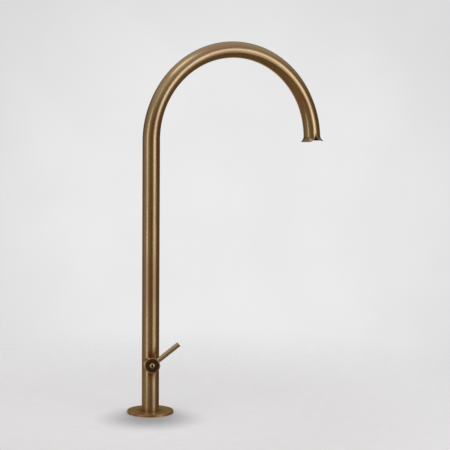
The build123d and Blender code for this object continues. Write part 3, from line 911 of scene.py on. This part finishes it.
def aged_brass(name, finish, piece=None):
    """Aged brass: patina in clouds, lines of the brush round the piece, rubbed edges.

    The neck carries its pattern along its bend. Its lips are duller than the rest, its
    bore is painted nearly black as shade, and its cut edges are bare. The hub's dish is
    nearly black too, with patina and painted shade, and its rim is round. The flange is
    duller, with painted shade round the column. The body has painted dark red shade round
    the root of the boss. Hands have rubbed the lever brighter.
    """
    material, tree, surface = new_material(name)
    wear_radius = 0.6 * MM
    patina_and_painted_shade = None
    patina_and_shade_colour = finish.dark
    if piece == "neck":
        vector = add(tree, "ShaderNodeAttribute", attribute_name="unbent").outputs["Vector"]
        length = add(tree, "ShaderNodeSeparateXYZ", {0: vector}).outputs["Z"]
        rim = rim_length(bpy.context.scene.tap_shape)
        wear_radius = ramp(tree, length, rim - 20 * MM, rim - 15 * MM, 0.4 * MM, 0.8 * MM)
        # the neck: dulled patina near the rim, painted shade over the inner wall
        patina_and_painted_shade = rim_dulling_and_bore_shade(tree, length, rim)
    else:
        vector = object_place(tree)
    # the hub's dish: dark patina and painted shade
    if piece == "hub":
        patina_and_painted_shade = hollow_mask(tree, vector, *HUB_DISH)
    # painted shade: dark red on the body round the root of the boss
    if piece == "body":
        patina_and_painted_shade = painted_boss_shade_mask(tree, vector)
        patina_and_shade_colour = finish.painted_boss_shade

    inputs = {"Vector": vector, "Scale": (1.0, 1.0, 0.25)}
    along = add(tree, "ShaderNodeMapping", inputs).outputs[0]
    inputs = {
        "Golden": finish.golden,
        "Olive": finish.olive,
        "Russet": finish.russet,
        "Patch Size": 0.026,
    }
    patina = effect(tree, "patina", along, inputs)
    lines = brush_lines(tree, vector, (1.0, 1.0, 0.05), 700.0)
    wear = edge_wear(tree, vector, wear_radius, 0.55)
    colour = patina["Color"]
    smoothest, roughest = (0.49, 0.56) if piece == "flange" else (0.27, 0.34)
    roughness = ramp(tree, patina["Thickness"], 0.0, 1.0, smoothest, roughest)
    coat = 0.4 if piece == "flange" else 1.0
    # patina, and painted shade, darken the colour, roughen it and thin the coat
    if patina_and_painted_shade is not None:
        colour = mix_colour(tree, patina_and_painted_shade, colour, patina_and_shade_colour)
        roughness = math_node(tree, "ADD", roughness, times(tree, patina_and_painted_shade, 0.2))
        coat = math_node(tree, "ADD", times(tree, patina_and_painted_shade, -0.75), 1.0)
    if piece == "lever":
        colour = mix_colour(tree, 0.35, colour, finish.bright)
    # painted shade: the flange darkens in the corner round the column's foot
    if piece == "flange":
        colour = mix_colour(tree, painted_corner_shade_mask(tree, vector), colour, finish.dark)
    worn = times(tree, wear["Mask"], 0.75)
    rubbed = times(tree, worn, 0.1)
    inputs = {
        "Base Color": mix_colour(tree, worn, colour, finish.bright),
        "Roughness": math_node(tree, "SUBTRACT", roughness, rubbed),
        "Metallic": 1.0,
        "Coat Weight": coat,
        "Coat Roughness": 0.18,
        "Coat IOR": 3.0 if piece == "hub" else 2.4,
    }
    rounded = wear["Rounded"] if piece == "hub" else None
    dress(tree, surface, inputs, lines["Height"], 0.001 * MM, rounded)
    return material


def polished_brass(name, finish):
    """Polished brass of the screw: bright, with hairlines and a breath of tarnish, with
    painted shade darkening its upper side and its hexagon socket."""
    material, tree, surface = new_material(name)
    vector = object_place(tree)
    lines = brush_lines(tree, vector, (1.0, 1.0, 6.0), 900.0)
    tarnish = ramp(tree, noise(tree, vector, 260.0), 0.45, 0.75, 0.0, 0.25)
    colour = mix_colour(tree, tarnish, finish.bright, finish.golden)
    # painted shade: the upper side of the screw is darkened towards olive
    middle = valve_centre.z
    height = add(tree, "ShaderNodeSeparateXYZ", {0: vector}).outputs["Z"]
    painted_top_shade = ramp(tree, height, middle - 1 * MM, middle + 3 * MM, 0.0, 0.8)
    colour = mix_colour(tree, painted_top_shade, colour, finish.olive)
    # painted shade: the hexagon socket is darkened and loses its coat
    socket = hollow_mask(tree, vector, *SCREW_SOCKET)
    inputs = {
        "Base Color": mix_colour(tree, socket, colour, finish.dark),
        "Roughness": ramp(tree, lines["Lines"], 0.0, 1.0, 0.16, 0.24),
        "Metallic": 1.0,
        "Coat Weight": math_node(tree, "SUBTRACT", 1.0, socket),
        "Coat Roughness": 0.12,
        "Coat IOR": 2.6,
    }
    dress(tree, surface, inputs, lines["Height"], 0.001 * MM)
    return material


def raw_brass(name, finish):
    """Machined brass: tool marks round the piece, light tarnish in clouds."""
    material, tree, surface = new_material(name)
    vector = object_place(tree)
    inputs = {
        "Golden": finish.raw,
        "Olive": Vector(finish.raw) * 0.8,
        "Russet": finish.golden,
        "Patch Size": 0.012,
    }
    patina = effect(tree, "patina", vector, inputs)
    lines = brush_lines(tree, vector, (1.0, 1.0, 14.0), 260.0)
    wear = edge_wear(tree, vector, 0.3 * MM, 0.6)
    worn = times(tree, wear["Mask"], 0.6)
    inputs = {
        "Base Color": mix_colour(tree, worn, patina["Color"], finish.bright),
        "Roughness": ramp(tree, lines["Lines"], 0.0, 1.0, 0.26, 0.4),
        "Metallic": 1.0,
    }
    dress(tree, surface, inputs, lines["Height"], 0.005 * MM)
    return material


def brushed_steel(name, finish):
    """Brushed steel: fine lines and slightly uneven grey."""
    material, tree, surface = new_material(name)
    vector = object_place(tree)
    lines = brush_lines(tree, vector, (18.0, 1.0, 18.0), 220.0)
    shade = ramp(tree, noise(tree, vector, 90.0), 0.3, 0.7)
    inputs = {
        "Base Color": mix_colour(tree, shade, finish.steel, Vector(finish.steel) * 0.82),
        "Roughness": ramp(tree, lines["Lines"], 0.0, 1.0, 0.24, 0.38),
        "Metallic": 1.0,
    }
    dress(tree, surface, inputs, lines["Height"], 0.004 * MM)
    return material


def moulded(name, colour, grain_size, roughness_range, lightening, relief):
    """Plain material with grain: specks, clouds and a fine relief.

    Rubber, plastic, ceramic and fibre differ in colour, grain size, roughness, how much
    lighter their specks are, and the depth of the relief.
    """
    material, tree, surface = new_material(name)
    speckle = effect(tree, "speckle", object_place(tree), {"Grain Size": grain_size})
    lighter = Vector(colour) + Vector((lightening, lightening, lightening))
    darker = Vector(colour) * 0.85
    clouded = mix_colour(tree, speckle["Clouds"], colour, darker)
    inputs = {
        "Base Color": mix_colour(tree, speckle["Specks"], clouded, lighter),
        "Roughness": ramp(tree, speckle["Clouds"], 0.0, 1.0, *roughness_range),
    }
    dress(tree, surface, inputs, speckle["Height"], relief)
    return material


class GARDEN_TAP_OT_finishes(bpy.types.Operator):
    """Give every piece that the frame brings its finish"""

    bl_idname = "garden_tap.finishes"
    bl_label = "Finishes"

    def execute(self, context):
        finish = context.scene.tap_finish
        metals = {
            "aged_brass": aged_brass,
            "polished_brass": polished_brass,
            "raw_brass": raw_brass,
            "brushed_steel": brushed_steel,
        }
        made = {key: make(key + "_plain", finish) for key, make in metals.items()}
        # grain size, roughness, lightening of the specks and depth of the relief
        moulded_kinds = {
            "black_rubber": (finish.rubber, 0.4 * MM, (0.5, 0.68), 0.02, 0.01 * MM),
            "dark_plastic": (finish.plastic, 0.2 * MM, (0.35, 0.5), 0.02, 0.004 * MM),
            "ceramic": (finish.ceramic, 0.15 * MM, (0.12, 0.22), 0.05, 0.001 * MM),
            "red_fibre": (finish.fibre, 0.3 * MM, (0.7, 0.85), 0.06, 0.02 * MM),
        }
        for slot_name, values in moulded_kinds.items():
            made[slot_name] = moulded(slot_name + "_plain", *values)
        aged_pieces = {
            "handle_hub": "hub",
            "lever_rod": "lever",
            "base_flange": "flange",
            "valve_body": "body",
        }
        own = {
            name: aged_brass("aged_brass_" + piece, finish, piece)
            for name, piece in aged_pieces.items()
        }
        for name, node in frame["nodes"].items():
            slot_name = node.data.materials[0].name
            node.material_slots[0].material = own.get(name, made[slot_name])
        return {"FINISHED"}


# The stage


def soft_light(name, azimuth, elevation, spread, radiance, colour, on_metal=True):
    """Elliptic area light that faces the tap from two metres away.

    The azimuth is measured from -Y towards +X, the spread is half the angle that the
    light fills from side to side and from top to bottom, and all three are in degrees.
    A light that isn't on metal lights the deck and leaves no highlight.
    """
    target = Vector((0.14, 0, 0.4))
    distance = 2.0
    azimuth = math.radians(azimuth)
    elevation = math.radians(elevation)
    width, height = (2 * distance * math.tan(math.radians(half)) for half in spread)
    light = bpy.data.lights.new(name, "AREA")
    light.shape = "ELLIPSE"
    light.size = width
    light.size_y = height
    light.energy = radiance * math.pi * math.pi * width * height / 4
    light.color = colour
    across = Vector((math.sin(azimuth), -math.cos(azimuth), 0))
    direction = across * math.cos(elevation) + Vector((0, 0, math.sin(elevation)))
    source = place_object(name, light)
    source.location = target + distance * direction
    source.rotation_euler = direction.to_track_quat("Z", "Y").to_euler()
    source.visible_camera = False
    source.visible_glossy = on_metal


def deck_material(name, stage):
    """Pale matt deck with a soft shadow round the tap. Away from it the deck fades out,
    so that the backdrop shows."""
    material = bpy.data.materials.new(name)
    tree = emptied(material)
    vector = object_place(tree)
    flat = flat_place(tree, vector)
    shadow_middle = (-0.018, -0.041, 0.0)
    from_shadow = vector_node(tree, "SUBTRACT", flat, shadow_middle)
    shadow_distance = vector_node(tree, "LENGTH", from_shadow)
    shadow = ramp(tree, shadow_distance, stage.shadow_radius, 10 * MM)
    shadow = times(tree, shadow, stage.shadow_depth)
    grain = ramp(tree, noise(tree, vector, 40.0, 4.0), 0.3, 0.7, 0.98, 1.0)
    kept = times(tree, grain, math_node(tree, "SUBTRACT", 1.0, shadow))
    colour = vector_node(tree, "SCALE", stage.backdrop, Scale=kept)
    matt = add(tree, "ShaderNodeBsdfDiffuse", {"Color": colour}).outputs[0]
    clear = add(tree, "ShaderNodeBsdfTransparent").outputs[0]
    distance = vector_node(tree, "LENGTH", flat)
    fade = ramp(tree, distance, 0.15 * stage.deck_radius, 0.98 * stage.deck_radius)
    mixed = add(tree, "ShaderNodeMixShader", {0: fade, 1: matt, 2: clear})
    add(tree, "ShaderNodeOutputMaterial", {"Surface": mixed.outputs[0]})
    return material


def studio_world(stage):
    """Backdrop for the camera, a little darker towards its corners, which lights matt
    surfaces too. Mirrored rays meet a soft studio: dim round the horizon, lighter
    overhead, warm and dim below, with a glow on the floor behind the tap."""
    world = bpy.data.worlds.new("studio")
    bpy.context.scene.world = world
    tree = emptied(world)
    vector = add(tree, "ShaderNodeTexCoord").outputs["Generated"]
    parts = add(tree, "ShaderNodeSeparateXYZ", {0: vector}).outputs
    overhead = ramp(tree, parts["Z"], 0.1, 0.85)
    below = ramp(tree, parts["Z"], -0.05, -0.5)
    left = ramp(tree, parts["X"], -0.4, -0.95)
    below_left = ramp(tree, parts["X"], -0.1, -0.6)
    floor_behind = (0.13, 0.93, -0.34)
    glow = ramp(tree, vector_node(tree, "DOT_PRODUCT", vector, floor_behind), 0.85, 1.0)
    level = mix_colour(tree, left, (0.10, 0.07, 0.03), (0.28, 0.26, 0.22))
    level = mix_colour(tree, overhead, level, (0.5, 0.48, 0.41))
    ground = mix_colour(tree, below_left, (0.13, 0.09, 0.045), (0.24, 0.18, 0.10))
    level = mix_colour(tree, below, level, ground)
    level = mix_colour(tree, glow, level, (0.45, 0.35, 0.25))
    studio = add(tree, "ShaderNodeBackground", {"Color": level})
    middle = camera_turn() @ Vector((0, 1, 0))
    ahead = vector_node(tree, "DOT_PRODUCT", vector, middle)
    corner = math.cos(stage.camera_angle / math.sqrt(2))
    shade = ramp(tree, ahead, 1.0, corner, 1.0, stage.corner_shade)
    clouds = ramp(tree, noise(tree, vector, 18.0), 0.3, 0.7, 0.985, 1.015)
    shade = times(tree, shade, clouds)
    inputs = {"Color": stage.backdrop, "Strength": shade}
    backdrop = add(tree, "ShaderNodeBackground", inputs)
    mirrored = add(tree, "ShaderNodeLightPath").outputs["Is Glossy Ray"]
    inputs = {0: mirrored, 1: backdrop.outputs[0], 2: studio.outputs[0]}
    mixed = add(tree, "ShaderNodeMixShader", inputs)
    add(tree, "ShaderNodeOutputWorld", {"Surface": mixed.outputs[0]})


def camera_turn():
    """Turn of the photograph's camera. It takes +X to its right, +Y ahead and +Z up."""
    heading = Matrix.Rotation(-CAMERA_HEADING, 4, "Z")
    tilt = Matrix.Rotation(CAMERA_TILT, 4, "X")
    roll = Matrix.Rotation(-CAMERA_ROLL, 4, "Y")
    return heading @ tilt @ roll


def photo_camera(stage):
    """Camera where the photograph was taken from, with the same width of view."""
    data = bpy.data.cameras.new("photo_camera")
    data.sensor_width = 36.0
    data.lens = data.sensor_width / 2 / math.tan(stage.camera_angle / 2)
    camera = place_object("photo_camera", data)
    from_above = Matrix.Rotation(math.pi / 2, 4, "X")
    camera.matrix_world = Matrix.Translation(CAMERA_PLACE) @ camera_turn() @ from_above
    bpy.context.scene.camera = camera


def round_deck(stage):
    """Round deck with a hole for the tail: rings over its top and back under it."""
    turn = full_turn(192)
    hole = shank_high.x + 0.5 * MM
    middle = 0.1
    rim = stage.deck_radius
    radii = numpy.array([hole, middle, rim, rim, middle, hole])
    heights = numpy.array([0, 0, 0, 1, 1, 1]) * -stage.deck_thickness
    points = turned(radii[:, None], heights[:, None], turn)
    points = joined(points, points[:1])
    mesh = bpy.data.meshes.new("deck")
    faces = quads(number_grids(points)[0], flip=True)
    mesh.from_pydata(points.reshape(-1, 3), [], faces.tolist())
    mesh.materials.append(deck_material("pale_deck", stage))
    deck = place_object("deck", mesh)
    deck.visible_glossy = False
    deck.visible_shadow = False
    return deck


class GARDEN_TAP_OT_stage(bpy.types.Operator):
    """Set up the deck, the backdrop, the soft lights and the camera"""

    bl_idname = "garden_tap.stage"
    bl_label = "Stage"

    def execute(self, context):
        stage = context.scene.tap_stage
        context.scene.view_settings.view_transform = "Standard"
        deck = round_deck(stage)
        studio_world(stage)
        white = (1.0, 0.98, 0.95)
        pink = (1.0, 0.93, 0.88)
        soft_light("right_key", 20.5, 5.3, (9.5, 13.0), 1.4, white)
        soft_light("right_glow", 22, -4, (22, 32), 0.64, white)
        soft_light("left_fill", -75, 2, (9, 27), 1.0, pink)
        soft_light("left_above", -55, 66, (16, 12), 1.2, pink)
        soft_light("left_lever", -61, 38, (6, 7), 0.75, pink)
        soft_light("deck_light", 0, 85, (30, 30), 0.55, (1.0, 1.0, 1.0), on_metal=False)
        photo_camera(stage)
        return {"FINISHED"}


class GARDEN_TAP_PT_panel(bpy.types.Panel):
    """Lists the steps and their sizes and colours"""

    bl_idname = "GARDEN_TAP_PT_panel"
    bl_label = "Garden tap"
    bl_space_type = "VIEW_3D"
    bl_region_type = "UI"
    bl_category = "Garden tap"

    def draw(self, context):
        layout = self.layout
        for operator in operators:
            layout.operator(operator.bl_idname)
        for group_name in groups:
            settings = getattr(context.scene, group_name)
            box = layout.box()
            for key in settings.__annotations__:
                box.prop(settings, key)


groups = {"tap_shape": TapShape, "tap_finish": TapFinish, "tap_stage": TapStage}
operators = (GARDEN_TAP_OT_swan_neck, GARDEN_TAP_OT_tail, GARDEN_TAP_OT_finishes, GARDEN_TAP_OT_stage)
classes = (*groups.values(), *operators, GARDEN_TAP_PT_panel)


def register():
    """Registers the classes and puts their settings on the scene."""
    for each in classes:
        bpy.utils.register_class(each)
    for name, group in groups.items():
        setattr(bpy.types.Scene, name, PointerProperty(type=group))


def unregister():
    """Takes the settings and the classes away again."""
    for name in groups:
        delattr(bpy.types.Scene, name)
    for each in reversed(classes):
        bpy.utils.unregister_class(each)


def main():
    """Makes the pieces, the finishes and the stage."""
    register()
    bpy.ops.garden_tap.swan_neck()
    bpy.ops.garden_tap.tail()
    bpy.ops.garden_tap.finishes()
    bpy.ops.garden_tap.stage()


if __name__ == "__main__":
    main()
